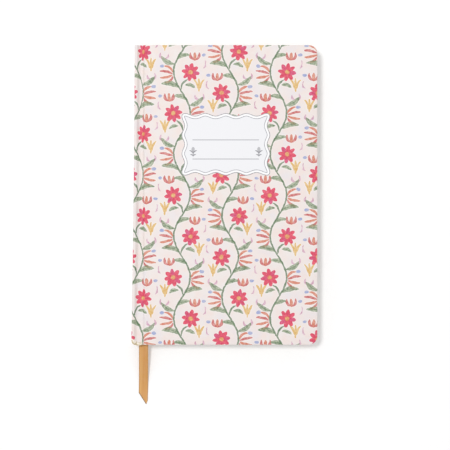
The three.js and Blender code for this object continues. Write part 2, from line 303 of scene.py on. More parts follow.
# Material helpers
def ink(red, green, blue):
    """Linear colour from one written as it shows on a screen, 0 to 255."""
    shares = (red / 255, green / 255, blue / 255)
    return tuple(((c + 0.055) / 1.055) ** 2.4 if c > 0.04 else c / 12.92 for c in shares) + (1,)


def put(socket, value):
    """Links a node's output to the socket, or sets the socket's own value."""
    if isinstance(value, bpy.types.NodeSocket):
        socket.id_data.links.new(value, socket)
    else:
        socket.default_value = value


def add_node(tree, kind, *values, **named):
    """A new node, with values or links for its first sockets, or for sockets by name."""
    node = tree.nodes.new("ShaderNode" + kind)
    for socket, value in zip(node.inputs, values):
        put(socket, value)
    for name, value in named.items():
        put(node.inputs[name], value)
    return node


class Surface:
    """A procedural material, and short calls that add its nodes."""

    def __init__(self, name, roughness=0.7, sheen=0.0, specular=0.35):
        self.material = bpy.data.materials.new(name)
        self.material.use_nodes = True
        self.tree = self.material.node_tree
        self.shader = self.tree.nodes["Principled BSDF"]
        self.shader.inputs["Roughness"].default_value = roughness
        self.shader.inputs["Specular IOR Level"].default_value = specular
        self.shader.inputs["Sheen Weight"].default_value = sheen

    def node(self, kind, *values, **named):
        return add_node(self.tree, kind, *values, **named)

    def math(self, operation, *values, clamp=False):
        node = self.node("Math", *values)
        node.operation = operation
        node.use_clamp = clamp
        return node.outputs[0]

    def times(self, a, b):
        return self.math("MULTIPLY", a, b)

    def over(self, a, b):
        return self.math("DIVIDE", a, b)

    def plus(self, a, b):
        return self.math("ADD", a, b)

    def minus(self, a, b):
        return self.math("SUBTRACT", a, b)

    def size(self, a):
        return self.math("ABSOLUTE", a)

    def scaled(self, a, factor, more):
        """a times the factor, and more added to it."""
        return self.math("MULTIPLY_ADD", a, factor, more)

    def wave(self, a, length, kind="SINE"):
        return self.math(kind, self.times(a, 2 * math.pi / length))

    def fit(self, value, low, high, to_low=0.0, to_high=1.0):
        """The value's place between low and high, held to the range that it is carried to."""
        return self.node("MapRange", value, low, high, to_low, to_high).outputs[0]

    def mix(self, share, a, b):
        node = self.node("Mix", share)
        node.data_type = "RGBA"
        put(node.inputs[6], a)
        put(node.inputs[7], b)
        return node.outputs[2]

    def tint(self, base, tint, by, low, high, to_low=0.0, to_high=1.0):
        """The base, tinted where the value lies between low and high."""
        return self.mix(self.fit(by, low, high, to_low, to_high), base, tint)

    def split(self, vector):
        return tuple(self.node("SeparateXYZ", vector).outputs)

    def flat(self):
        """Place on the flat sheet, in millimetres."""
        node = self.node("UVMap")
        node.uv_map = "flat"
        x, y, _ = self.split(node.outputs[0])
        return self.times(x, PER_METRE), self.times(y, PER_METRE)

    def place(self):
        """Place on the object, in millimetres."""
        found = self.split(self.node("TexCoord").outputs["Object"])
        return tuple(self.times(c, PER_METRE) for c in found)

    def noise(self, place, scale, detail=3.0, rough=0.55):
        """Noise at a place given by two or three coordinates."""
        where = self.node("CombineXYZ", *place).outputs[0]
        node = self.node("TexNoise", Vector=where, Scale=scale, Detail=detail, Roughness=rough)
        return node.outputs[0]

    def attribute(self, name):
        node = self.node("Attribute")
        node.attribute_name = name
        return node.outputs["Fac"]

    def finished(self, colour, height, distance):
        """The material with this colour, and relief of the given height in millimetres."""
        relief = self.node("Bump", Strength=1.0, Distance=distance * METRE, Height=height)
        put(self.shader.inputs["Normal"], relief.outputs[0])
        put(self.shader.inputs["Base Color"], colour)
        return self.material


PAPER_GRAIN = 0.03


def paper_like(name, tint, fibre, roughness=0.8):
    """Paper: faint cloudiness, short fibres and a fine tooth."""
    s = Surface(name, roughness=roughness, specular=0.3)
    where = s.flat()
    cloud = s.noise(where, 0.09, 3.0)
    tooth = s.noise(where, 2.6, 4.0)
    colour = s.tint(tint, fibre, cloud, 0.3, 0.7)
    colour = s.tint(colour, fibre, tooth, 0.45, 0.9, 0.0, 0.35)
    return s, colour, tooth


def plain_paper(name, tint, fibre):
    s, colour, tooth = paper_like(name, tint, fibre)
    return s.finished(colour, tooth, PAPER_GRAIN)


# Camera, straight above the book
PHOTO_WIDTH, SENSOR = 450, 36.0
PIXELS_PER_MM = 1.4286
CAMERA_X, CAMERA_Y, CAMERA_HEIGHT = 0.3, -21.07, 875.0
camera_data = bpy.data.cameras.new("camera")
camera_data.sensor_width = SENSOR
camera_data.lens = SENSOR * CAMERA_HEIGHT * PIXELS_PER_MM / PHOTO_WIDTH
camera_data.clip_start = 0.05
camera = placed("camera", camera_data)
camera.location = (CAMERA_X * METRE, CAMERA_Y * METRE, (BOOK_TOP + CAMERA_HEIGHT) * METRE)
bpy.context.scene.camera = camera
bpy.context.scene.view_settings.view_transform = "Standard"


# Ribbon bookmark. Its cut end slants, and its tip is a little narrower than a point.
RIBBON_WIDTH, RIBBON_THICK = 6.5, 0.3
RIBBON_CENTRE, RIBBON_EXIT, RIBBON_MID = -57.2, 0.3, 7.85
SLANT, TIP_LENGTH, TIP_WIDTH, TIP_LEFT = 8.0, 2.7, 0.9, 0.3
# Drift sideways, way past the page edge, and height
RIBBON_ROUTE = [
    (0, 0.3, 7.9), (0, 2.2, 7.88), (0, 5, 7.76), (-0.03, 8.2, 7.4),
    (-0.08, 11.6, 6.75), (-0.14, 15, 5.85), (-0.2, 18.4, 4.75), (-0.27, 21.8, 3.55),
    (-0.34, 25.2, 2.4), (-0.42, 28.6, 1.4), (-0.5, 32, 0.72), (-0.58, 35.4, 0.36),
    (-0.66, 38.6, 0.24), (-0.73, 41.4, 0.2), (-0.8, 44.1, 0.2), (-0.86, 46.65, 0.2),
]


def ribbon_line():
    """The route as points. Its start is held at RIBBON_MID, and its second half is as given."""
    start, end = RIBBON_ROUTE[0][1], RIBBON_ROUTE[-1][1]
    points = []
    for drift, past, height in RIBBON_ROUTE:
        held = max(0, 1 - (past - start) / ((end - start) / 2))
        height = max(height + (RIBBON_MID - RIBBON_ROUTE[0][2]) * held, RIBBON_THICK / 2)
        points.append((RIBBON_CENTRE + drift, -PAGE_HEAD - RIBBON_EXIT - (past - start), height))
    return spline(points, LINE_STEP)


RIBBON_LINE = ribbon_line()
RIBBON_RUN = run_along(RIBBON_LINE)
RIBBON_LENGTH = RIBBON_RUN[-1]


def satin():
    """Woven ribbon: warp threads along it, fine ribs across and a selvedge on both edges."""
    s = Surface("ribbon satin", roughness=0.48, sheen=0.25, specular=0.4)
    across, along = s.flat()

    def streaks(fine, long, detail):
        return s.noise((s.times(across, fine), s.times(along, long)), 1.0, detail)

    threads = streaks(5.0, 0.12, 3.0)
    bands = streaks(0.45, 0.015, 1.0)
    cloud = s.noise((across, along), 0.16, 2.0)
    colour = s.tint(ink(213, 154, 86), ink(228, 177, 109), bands, 0.35, 0.65)
    colour = s.tint(colour, ink(199, 139, 73), threads, 0.35, 0.75, 0.0, 0.6)
    colour = s.tint(colour, ink(219, 163, 114), cloud, 0.45, 0.75, 0.0, 0.4)
    edge = s.minus(RIBBON_WIDTH / 2, s.size(across))
    colour = s.tint(colour, ink(176, 122, 74), edge, 0.3, 0.7, 0.6, 0.0)
    # Darker along the slanting cut, broken up by the threads
    half, slant = RIBBON_WIDTH / 2, RIBBON_LENGTH - SLANT
    cut = s.fit(along, slant, RIBBON_LENGTH, -half, half - TIP_WIDTH - TIP_LEFT)
    cut_darkening = s.scaled(s.minus(threads, 0.5), 0.9, s.minus(across, cut))
    cut_darkening = s.times(s.fit(cut_darkening, 0.35, 0.9, 0.9, 0.0), s.fit(along, slant - 0.6, slant))
    colour = s.mix(cut_darkening, colour, ink(140, 112, 84))
    put(s.shader.inputs["Roughness"], s.fit(threads, 0.3, 0.7, 0.42, 0.56))
    warp = s.wave(across, 0.24)
    weft = s.wave(along, 0.3)
    weave = s.scaled(warp, 0.3, s.scaled(weft, 0.2, threads))
    return s.finished(colour, weave, 0.03)


RIBBON_SATIN = satin()


def ribbon_tail():
    line, columns, half = RIBBON_LINE, 9, RIBBON_WIDTH / 2
    outer, inner, flat = [], [], []
    for i, (at, run) in enumerate(zip(line, RIBBON_RUN)):
        along = line[min(i + 1, len(line) - 1)] - line[max(i - 1, 0)]
        along /= np.linalg.norm(along)
        up = np.array((0.0, along[2], -along[1]))
        up /= np.linalg.norm(up)
        past = max(0, run - (RIBBON_LENGTH - SLANT)) / SLANT
        blunt = max(0, run - (RIBBON_LENGTH - TIP_LENGTH)) / TIP_LENGTH
        right = half - TIP_WIDTH * blunt
        left = -half + (2 * half - TIP_WIDTH - TIP_LEFT) * past
        for share in np.linspace(0, 1, columns):
            across = left + (right - left) * share
            thick = RIBBON_THICK / 2 * (0.55 + 0.45 * (1 - abs(2 * share - 1) ** 6))
            point = at + np.array((across, 0, 0))
            outer.append(point + up * thick)
            inner.append(point - up * thick)
            flat.append((across, run))
    faces = [f[::-1] for f in grid(len(line), columns)]
    tail = shell("ribbon_free", outer, inner, faces, [RIBBON_SATIN], flat)
    dress(tail, "ribbon", "text_block", "ribbon_tail")
    path = [tuple(p * METRE) for p in line[::3]]
    if len(line) % 3 != 1:
        path.append(tuple(line[-1] * METRE))


ribbon_tail()


# Printed paper: a climbing vine in watercolour, drawn by its own formulas
COLUMN_PITCH, VINE_PERIOD, VINE_SWING = 27.0, 46.0, 4.6
PRINT_SCALE, PRINT_LEFT = 1.25, 10.0

RASPBERRY, DEEP_RASPBERRY, ROSE = ink(236, 30, 82), ink(206, 22, 78), ink(242, 78, 108)
MAGENTA = ink(206, 44, 130)
CORAL, ORANGE, YELLOW = ink(212, 96, 86), ink(216, 122, 80), ink(230, 190, 88)
LEAF, DEEP_LEAF = ink(146, 168, 118), ink(76, 114, 68)
LILAC, PERIWINKLE, MAUVE = ink(222, 174, 206), ink(150, 162, 202), ink(186, 112, 150)
GROUND, GROUND_ROSE, GROUND_LILAC = ink(238, 230, 227), ink(240, 225, 220), ink(231, 226, 231)


def stroke(s, x, y, origin, angle, length, width, bend=0.0, power=0.7):
    """How far inside one brush stroke a point lies, in millimetres. A leaf is a wide stroke."""
    c, n = math.cos(math.radians(angle)), math.sin(math.radians(angle))
    u = s.scaled(x, c, s.scaled(y, n, -(origin[0] * c + origin[1] * n)))
    v = s.scaled(x, -n, s.scaled(y, c, origin[0] * n - origin[1] * c))
    t = s.math("DIVIDE", u, length, clamp=True)
    past = s.size(s.scaled(t, -length, u))
    belly = s.times(s.times(t, 4.0), s.minus(1.0, t))
    off = s.size(s.scaled(belly, -bend, v))
    wide = s.times(s.math("POWER", belly, power), width)
    return s.minus(wide, s.plus(off, past))


def joined(s, parts):
    total = parts[0]
    for part in parts[1:]:
        total = s.math("MAXIMUM", total, part)
    return total


def strokes(s, x, y, rows):
    """Strokes from rows of origin, angle, length, width, bend and power."""
    return joined(s, [stroke(s, x, y, *row) for row in rows])


def rosette(s, x, y, centre, petals, start, end, width, power=0.6, turn=0.0):
    """Petals round a centre: how far inside one a point lies, and a number for each petal."""
    dx, dy = s.minus(x, centre[0]), s.minus(y, centre[1])
    radius = s.math("SQRT", s.scaled(dx, dx, s.times(dy, dy)))
    angle = s.scaled(s.math("ARCTAN2", dy, dx), petals / (2 * math.pi), turn)
    number = s.math("FLOOR", angle)
    share = s.minus(s.minus(angle, number), 0.5)
    across = s.times(radius, s.wave(share, petals))
    t = s.fit(radius, start, end)
    belly = s.times(s.times(t, 4.0), s.minus(1.0, t))
    wide = s.times(s.math("POWER", belly, power), width)
    past = s.size(s.minus(radius, s.scaled(t, end - start, start)))
    inside = s.minus(wide, s.plus(s.size(across), past))
    return inside, number, across, radius


def printed_paper():
    s = Surface("printed paper", roughness=0.52, specular=0.32)
    x, y = s.flat()
    # A brush never draws one line twice, so the drawing wavers
    wave_x, wave_y = s.noise((x, y), 0.28, 2.0), s.noise((y, x, 7.0), 0.28, 2.0)
    edge = s.noise((x, y, 3.0), 1.9, 3.0)
    wx = s.scaled(s.minus(wave_x, 0.5), 1.3, s.minus(x, PRINT_LEFT))
    wy = s.scaled(s.minus(wave_y, 0.5), 1.3, y)
    wx, wy = s.over(wx, PRINT_SCALE), s.over(wy, PRINT_SCALE)
    # One half period of vine, mirrored for each next one, in columns a quarter period apart
    column = s.math("ROUND", s.over(wx, COLUMN_PITCH))
    lx = s.scaled(column, -COLUMN_PITCH, wx)
    shift = s.times(s.math("FLOORED_MODULO", column, 2.0), 0.5)
    rise = s.plus(s.over(wy, VINE_PERIOD / 2), shift)
    row = s.math("FLOOR", rise)
    ly = s.times(s.minus(rise, row), VINE_PERIOD / 2)
    side = s.scaled(s.math("FLOORED_MODULO", row, 2.0), -2.0, 1.0)
    lx = s.times(lx, side)
    cell = s.node("TexWhiteNoise", Vector=s.node("CombineXYZ", column, row).outputs[0])
    cell.noise_dimensions = "2D"
    chance = cell.outputs["Value"]

    vine_x = s.times(s.wave(ly, VINE_PERIOD), VINE_SWING)
    steep = s.scaled(s.size(s.wave(ly, VINE_PERIOD, "COSINE")), -0.12, 1.0)
    off_vine = s.times(s.size(s.minus(lx, vine_x)), steep)
    vine = s.minus(s.scaled(edge, 0.26, 0.34), off_vine)
    stem = stroke(s, lx, ly, (0.4, 1.6), 124, 6.6, 0.56, -1.1, 0.3)

    leaves = [
        ((1.6, 2.6), 12, 10.2, 1.4, 1.3),
        ((4.2, 15.6), 32, 9.0, 1.36, -1.1),
        ((3.0, 18.6), 163, 8.0, 1.22, -1.0),
        ((-1.8, 4.2), 197, 5.8, 1.05, -0.8),
    ]
    green = strokes(s, lx, ly, leaves)
    veins = strokes(s, lx, ly, [(o, a, n * 0.86, 0.22, b * 0.9, 0.3) for o, a, n, _, b in leaves])
    coral = strokes(s, lx, ly, [
        ((5.0, 8.8), -36, 6.0, 0.72, -0.9, 0.4),
        ((5.2, 10.4), 12, 7.6, 0.74, 0.4, 0.4),
        ((-7.4, 17.9), 117, 5.0, 0.84, 1.0, 0.5),
        ((-7.0, 17.9), 63, 5.0, 0.84, -1.0, 0.5),
    ])
    orange = strokes(s, lx, ly, [
        ((5.2, 9.6), -12, 7.4, 0.74, -0.4, 0.4),
        ((5.0, 11.2), 36, 6.0, 0.72, 0.9, 0.4),
        ((-7.2, 17.6), 90, 4.8, 0.9, 0.0, 0.5),
    ])
    golden = strokes(s, lx, ly, [
        ((-9.6, 0.2), 90, 7.6, 0.62, 0.0, 0.35),
        ((-10.3, 2.0), 113, 5.6, 0.6, -0.6, 0.35),
        ((-8.9, 2.0), 67, 5.6, 0.6, 0.6, 0.35),
    ])
    lilac = strokes(s, lx, ly, [
        ((-11.9, 13.4), 102, 4.6, 0.62, 1.2, 0.5),
        ((10.2, 18.4), 68, 4.2, 0.62, -1.1, 0.5),
        ((9.6, 18.8), 128, 3.4, 0.56, 0.9, 0.5),
    ])
    dots = joined(s, [
        rosette(s, lx, ly, centre, 1, -size, size, size, 0.5)[0]
        for centre, size in (((11.2, 14.6), 1.3), ((-12.2, 20.9), 1.2))
    ])
    flower = rosette(s, lx, ly, (-4.9, 11.2), 8, 0.9, 5.1, 1.2, 0.5, turn=0.3)
    petals, number, across, radius = flower
    heart = s.minus(1.25, radius)
    drawn = joined(s, [vine, stem, green, coral, orange, golden, dots, petals])

    # Each colour is laid on thin, and pools darker at its edge
    wash = s.noise((x, y, 11.0), 0.7, 4.0)
    bloom = s.noise((x, y, 17.0), 0.16, 2.0)
    base = s.tint(GROUND, GROUND_ROSE, bloom, 0.35, 0.65)
    haze = s.noise((x, y, 23.0), 0.09, 2.0)
    base = s.tint(base, GROUND_LILAC, haze, 0.5, 0.72, 0.0, 0.8)
    base = s.tint(base, ink(247, 241, 238), drawn, -0.75, -0.15, 0.0, 0.6)

    def laid(base, inside, tint, deep, strength=0.94, thinned=0.26):
        inside = s.scaled(s.minus(edge, 0.5), 0.34, inside)
        cover = s.fit(inside, -0.08, 0.08)
        thin = s.fit(wash, 0.3, 0.7, strength, strength - thinned)
        body = s.tint(deep, tint, wash, 0.32, 0.68)
        body = s.tint(body, deep, inside, 0.05, 0.34, 0.45, 0.0)
        return s.mix(s.times(cover, thin), base, body)

    for coat in (
        (lilac, LILAC, MAUVE, 0.85),
        (golden, YELLOW, ink(216, 164, 66), 0.98),
        (orange, ORANGE, ink(206, 94, 56), 0.98),
        (coral, CORAL, ink(190, 62, 66), 0.98),
        (green, LEAF, DEEP_LEAF, 0.95, 0.4),
        (veins, DEEP_LEAF, ink(88, 116, 78), 0.75),
        (joined(s, [vine, stem]), DEEP_LEAF, ink(70, 108, 64), 0.98),
        (dots, PERIWINKLE, ink(136, 152, 206), 0.95),
    ):
        base = laid(base, *coat)
    hue = s.math("FRACT", s.scaled(number, 0.37, chance))
    petal_tint = s.tint(RASPBERRY, ROSE, hue, 0.3, 1.0)
    petal_tint = s.tint(petal_tint, MAGENTA, hue, 0.76, 0.84, 0.0, 0.75)
    base = laid(base, petals, petal_tint, DEEP_RASPBERRY, 1.0, 0.1)
    quill = s.minus(0.18, s.plus(s.size(across), s.fit(radius, 3.4, 4.3)))
    base = laid(base, quill, DEEP_RASPBERRY, DEEP_RASPBERRY, 0.6)
    base = laid(base, heart, YELLOW, ORANGE, 1.0)

    # Wear: rubbed edges, and a patch at the tail of the spine worn to the paper, tan and cream, whose
    # palest spots are painted highlight on the crumpled corner
    fibre = s.noise((x, y, 31.0), 2.4, 4.0)
    base = s.tint(base, ink(255, 250, 248), fibre, 0.3, 0.8, 0.0, 0.12)
    rubbed = s.times(s.attribute("edge"), s.fit(wash, 0.42, 0.6, 0.05, 0.5))
    base = s.mix(rubbed, base, ink(248, 238, 230))
    ragged = s.scaled(s.minus(wash, 0.5), 3.2, y)
    ragged = s.minus(ragged, s.fit(x, 13.0, 8.0, 0.0, 1.9))
    patch_and_highlight = s.times(s.fit(ragged, -102.7, -103.5), s.fit(x, 15.8, 14.6))
    patch_and_highlight = s.times(patch_and_highlight, s.fit(x, 5.0, 6.5))
    # The patch is worn tan paper, and its palest cream spots are painted highlight
    scuff_and_highlight = s.noise((x, y, 41.0), 0.5, 3.0)
    paper = s.tint(ink(206, 187, 150), ink(252, 245, 232), scuff_and_highlight, 0.44, 0.56)
    base = s.mix(patch_and_highlight, base, paper)
    put(s.shader.inputs["Roughness"], s.fit(fibre, 0.3, 0.7, 0.48, 0.58))
    return s.finished(base, s.scaled(wash, 0.25, fibre), 0.012)


PRINT = printed_paper()
PAPER_BACK = plain_paper("paper back", ink(240, 234, 226), ink(232, 226, 216))


# Printed paper round the boards and the spine
# Outer and inner face of the case, each as x and depth, from the middle of the spine to the board
CASE = [
    (-65.0, MIDDLE, -63.06, MIDDLE), (-65.0, 5.6, -63.06, 6.4), (-65.0, 3.2, -63.06, 4.8),
    (-65.0, 1.5, -63.06, 3.6), (-64.94, 0.72, -63.06, 3.3), (-64.62, 0.26, -63.05, 3.2),
    (-64.03, 0.02, -63.03, 3.1), (-63.45, 0.05, -63.02, 3.0), (-63.0, 0.24, -62.99, 2.88),
    (-62.6, 0.6, -62.88, 2.72), (-62.22, 0.97, -62.6, 2.58), (-61.84, 1.3, -62.15, 2.5),
    (-61.4, 1.56, -61.6, 2.46), (-60.85, 1.7, -60.95, 2.45), (-60.25, 1.75, -60.3, 2.45),
    (-59.6, 1.77, -59.6, 2.45), (-58.6, 1.76, -58.6, 2.45), (-57.8, 1.67, -57.8, 2.45),
    (-57.2, 1.44, -57.2, 2.45), (-56.8, 1.1, -56.8, 2.45), (-56.5, 0.7, -56.5, 2.45),
    (-56.26, 0.34, -56.26, 2.445), (-55.95, 0.1, -55.95, 2.44), (-55.5, 0.01, -55.5, 2.44),
    (-54.8, 0.0, -54.8, 2.44),
]


def case_stations():
    """The paper's way as outer x, depth and inner x, depth, its normals, and how far it has run."""
    path = spline(CASE, CASE_STEP)
    plain = np.linspace(CASE[-1][0], COVER_RIGHT - COVER_CORNER, 17)[1:]
    path = np.vstack([path, [(x, 0.0, x, COVER_STACK) for x in plain]])
    ahead = np.gradient(path[:, :2], axis=0)
    ahead[0] = (0, -1)
    ahead /= np.linalg.norm(ahead, axis=1)[:, None]
    normals = [(-z, 0.0, x) for x, z in ahead]
    return path, normals, run_along(path[:, :2])


FOLD_RADIUS = 0.5
BENDS = np.radians([0, 22.5, 45, 67.5, 90])


def cover_wrap(side):
    """The printed paper of one side, over the board, round its edges and turned in."""
    path, normals, run = case_stations()
    count = len(path)
    far = COVER_HEAD - COVER_CORNER
    rows = np.linspace(-far, far, 25)

    # A station of the rim: its outer and inner point at an inset, the normal of the outer face,
    # the way out and the place on the flat sheet
    def straight(j, way):
        x, d, xi, di = path[j]

        def at(inset):
            y = way * (COVER_HEAD - inset)
            edge = COVER_RIGHT - inset
            return np.array((min(x, edge), y, d)), np.array((min(xi, edge), y, di))

        return at, normals[j], (0.0, way), (run[j], way * far)

    def round_corner(angle, way):
        out = (math.cos(angle), way * math.sin(angle))

        def at(inset):
            left, cut = max(COVER_CORNER - inset, 0), max(inset, COVER_CORNER)
            x = COVER_RIGHT - cut + out[0] * left
            y = way * (COVER_HEAD - cut) + out[1] * left
            return np.array((x, y, 0.0)), np.array((x, y, COVER_STACK))

        return at, (0, 0, 1), out, (run[-1], way * far)

    def fore_edge(y):
        def at(inset):
            high = COVER_HEAD - inset
            x, held = COVER_RIGHT - inset, min(max(y, -high), high)
            return np.array((x, held, 0.0)), np.array((x, held, COVER_STACK))

        return at, (0, 0, 1), (1.0, 0.0), (run[-1], y)

    turns = np.radians(np.linspace(0, 90, 10))[1:-1]
    rim = [straight(j, -1) for j in range(count)]
    rim += [round_corner(a, -1) for a in turns[::-1]]
    rim += [fore_edge(y) for y in rows]
    rim += [round_corner(a, 1) for a in turns]
    rim += [straight(j, 1) for j in reversed(range(count))]

    # Each station's profile runs from the end of the turn-in, round the edge, to the outer face.
    # None stands for the fold itself.
    profile = [(TURN_IN, 1, 0.0), (COVER_CORNER, 1, 0.0)]
    profile += [(None, 1, b) for b in BENDS] + [(None, 0, b) for b in BENDS[::-1]]
    profile += [(COVER_CORNER, 0, 0.0)]
    outer, inner, flat, shade = [], [], [], []
    for at, normal, out, base in rim:
        first, second = at(COVER_CORNER)
        radius = min(FOLD_RADIUS, np.linalg.norm(second - first) * 0.49)
        inward = np.array((-out[0], -out[1], 0.0))
        loop = []
        for inset, under, bend in profile:
            d = radius * (1 - math.sin(bend)) if inset is None else inset
            f = radius * (1 - math.cos(bend))
            a, b = at(d)
            e = (b - a) / np.linalg.norm(b - a)
            point, face = (b - e * f, -e) if under else (a + e * f, np.array(normal))
            loop.append(point)
            outer.append(point)
            inner.append(point + PAPER * (math.cos(bend) * face + math.sin(bend) * inward))
            shade.append(1.0 if f > 0 and d < 0.5 else 0.0)
        lengths = run_along(np.array(loop[::-1]))[::-1]
        flat += [(base[0] + out[0] * length, base[1] + out[1] * length) for length in lengths]
    faces = grid(len(rim), len(profile))
    start = len(outer)
    for y in rows:
        for station, normal, length in zip(path, normals, run):
            point = np.array((station[0], y, station[1]))
            outer.append(point)
            inner.append(point + PAPER * np.array(normal))
            flat.append((length, y))
            shade.append(0.0)
    faces += [f[::-1] for f in grid(len(rows), count, start)]
    outer, inner, flat = rolled(worn_end(outer)), rolled(worn_end(inner)), np.array(flat)
    if side == "front":
        outer[:, 2], inner[:, 2] = BOOK_TOP - outer[:, 2], BOOK_TOP - inner[:, 2]
        faces = [f[::-1] for f in faces]
    else:
        flat[:, 0] *= -1
    wrap = shell(side + "_wrap", outer, inner, faces, [PRINT, PAPER_BACK], flat, {"edge": shade})
    nodes = [side + "_cover_paper", side + "_joint"] + ["spine_paper"] * (side == "front")
    dress_bent(wrap, "printed_cover", side + "_cover", HINGE_START, HINGE_END, *nodes)


cover_wrap("front")
cover_wrap("back")


# Boards
def greyboard():
    """Pressed grey pulp with darker flecks and layers at its edges."""
    s = Surface("greyboard", roughness=0.92, specular=0.2)
    x, y, z = s.place()
    pulp = s.noise((x, y, z), 0.5, 5.0, 0.65)
    flecks = s.noise((x, y, s.times(z, 3.0)), 1.7, 2.0)
    layers = s.noise((s.times(x, 0.05), s.times(y, 0.05), z), 4.5, 2.0)
    colour = s.tint(ink(150, 142, 130), ink(170, 162, 150), pulp, 0.3, 0.7)
    colour = s.tint(colour, ink(104, 96, 88), flecks, 0.62, 0.72, 0.0, 0.7)
    colour = s.tint(colour, ink(128, 120, 108), layers, 0.5, 0.7, 0.0, 0.4)
    return s.finished(colour, s.plus(pulp, layers), 0.08)


GREYBOARD = greyboard()
for node in ("front_board", "back_board"):
    NODES[node].data.materials.clear()
    NODES[node].data.materials.append(GREYBOARD)


def spine_bar(node, radius, material, slot):
    """A bar along the spine in the node's place, which follows the lean."""
    low, high = node_box(node)
    section = rounded(low[0], high[0], low[2], high[2], radius)
    stations = np.linspace(low[1], high[1], 30)
    points = rolled(worn_end([(x, y, z) for y in stations for x, z in section]))
    flat = [(y, z + x) for x, y, z in points]
    faces = capped(len(stations), len(section))
    piece = make(node + "_dressed", points, faces, [material], flat)
    dress(piece, slot, "text_block", node)


spine_bar("spine_board", 0.7, GREYBOARD, "greyboard")


# Spine linings and sewing
def kraft():
    s, colour, tooth = paper_like("kraft paper", ink(176, 138, 96), ink(152, 114, 76), 0.9)
    u, v = s.flat()
    fibres = s.noise((s.times(u, 0.15), v), 3.0, 4.0)
    colour = s.tint(colour, ink(196, 162, 120), fibres, 0.5, 0.7, 0.0, 0.4)
    return s.finished(colour, s.plus(tooth, fibres), 0.03)


def gauze():
    """Open-weave cotton, stiff with glue."""
    s = Surface("gauze", roughness=0.9, sheen=0.2, specular=0.2)
    u, v = s.flat()
    wander = s.noise((u, v), 0.35, 2.0)
    warp = s.wave(s.plus(u, wander), 0.9)
    weft = s.wave(s.plus(v, wander), 0.9)
    threads = s.math("MAXIMUM", warp, weft)
    colour = s.tint(ink(186, 170, 138), ink(236, 230, 214), threads, -0.3, 0.6)
    colour = s.tint(colour, ink(214, 204, 180), wander, 0.4, 0.7, 0.0, 0.4)
    return s.finished(colour, threads, 0.08)


def linen_thread():
    s = Surface("linen thread", roughness=0.75, sheen=0.3)
    around, along = s.flat()
    ply = s.math("SINE", s.times(s.plus(s.times(around, 1.4), along), 9.0))
    fluff = s.noise((around, along), 3.0, 3.0)
    # The grooves of the twist, where the relief is low, are painted darker: painted shade
    colour = s.tint(ink(206, 196, 172), ink(244, 238, 222), s.plus(ply, fluff), -0.6, 1.4)
    return s.finished(colour, ply, 0.03)


spine_bar("spine_lining", 0.08, kraft(), "kraft_paper")
spine_bar("spine_mull", 0.12, gauze(), "gauze")
spine_bar("ribbon_tab", 0.12, RIBBON_SATIN, "ribbon")
SEWING_STATIONS, SEWING_TURN = 6, 0.35


def sewing():
    """One thread that runs up and down across the folds, from station to station."""
    low, high = node_box("sewing_thread")
    radius = (high[0] - low[0]) / 2
    x = (low[0] + high[0]) / 2
    stations = np.linspace(low[1] + radius, high[1] - radius, SEWING_STATIONS)
    bottom, top = low[2] + radius, high[2] - radius
    path = []
    for i, y in enumerate(stations):
        start, end = (bottom, top) if i % 2 == 0 else (top, bottom)
        turn = math.copysign(SEWING_TURN, end - start)
        if i:
            path.append((x, y - SEWING_TURN, start))
        path += [(x, y, z) for z in np.linspace(start + turn, end - turn, 12)]
        if i < SEWING_STATIONS - 1:
            path.append((x, y + SEWING_TURN, end))
            path += [(x, v, end) for v in np.linspace(y, stations[i + 1], 8)[1:-1]]
    thread = tube("sewing_thread_dressed", rolled(spline(path, LINE_STEP)), radius, 8, linen_thread())
    dress(thread, "thread", "text_block", "sewing_thread")


sewing()


# Head and tail bands
def band_silk():
    """Two silks wound in turn over a core."""
    s = Surface("band silk", roughness=0.45, sheen=0.3, specular=0.4)
    around, along = s.flat()
    turn = s.math("FRACT", s.scaled(around, 0.12, s.over(along, 1.6)))
    second = s.fit(s.size(s.minus(turn, 0.5)), 0.23, 0.27)
    strand = s.noise((s.times(around, 0.3), s.times(along, 9.0)), 1.0, 2.0)
    colour = s.mix(second, ink(214, 156, 92), ink(244, 236, 218))
    colour = s.tint(colour, ink(176, 128, 84), strand, 0.35, 0.7, 0.0, 0.4)
    return s.finished(colour, strand, 0.04)


BAND_SILK = band_silk()
BAND_TURN, BAND_WAIST, BAND_END = 0.4, 0.07, 0.75


def band(node):
    """A wound roll, a little waisted between the turns of silk and narrower at its ends."""
    low, high = node_box(node)
    middle, half = (low + high) / 2, (high - low) / 2
    section = [(math.cos(t), math.sin(t)) for t in np.linspace(0, 2 * math.pi, 21)[:-1]]
    stations = np.linspace(low[2], high[2], 102)
    points, flat = [], []
    for z in stations:
        size = 1 - BAND_WAIST * (1 - abs(math.sin(math.pi * (z - low[2]) / BAND_TURN)))
        size *= min(1.0, BAND_END + min(z - low[2], high[2] - z) * 0.5)
        for k, (a, b) in enumerate(section):
            points.append((middle[0] + half[0] * a * size, middle[1] + half[1] * b * size, z))
            flat.append((k * 0.3, z))
    faces = capped(len(stations), len(section))
    piece = make(node + "_dressed", rolled(points), faces, [BAND_SILK], flat, sharp=60)
    dress(piece, "band", "text_block", node)


band("head_band")
band("tail_band")


# Pages
RULE_PITCH, RULE_FROM = 7.1, -200.0
RULE_TOP, RULE_BOTTOM, RULE_RIGHT = 86.0, -94.2, PAGE_RIGHT - 0.9


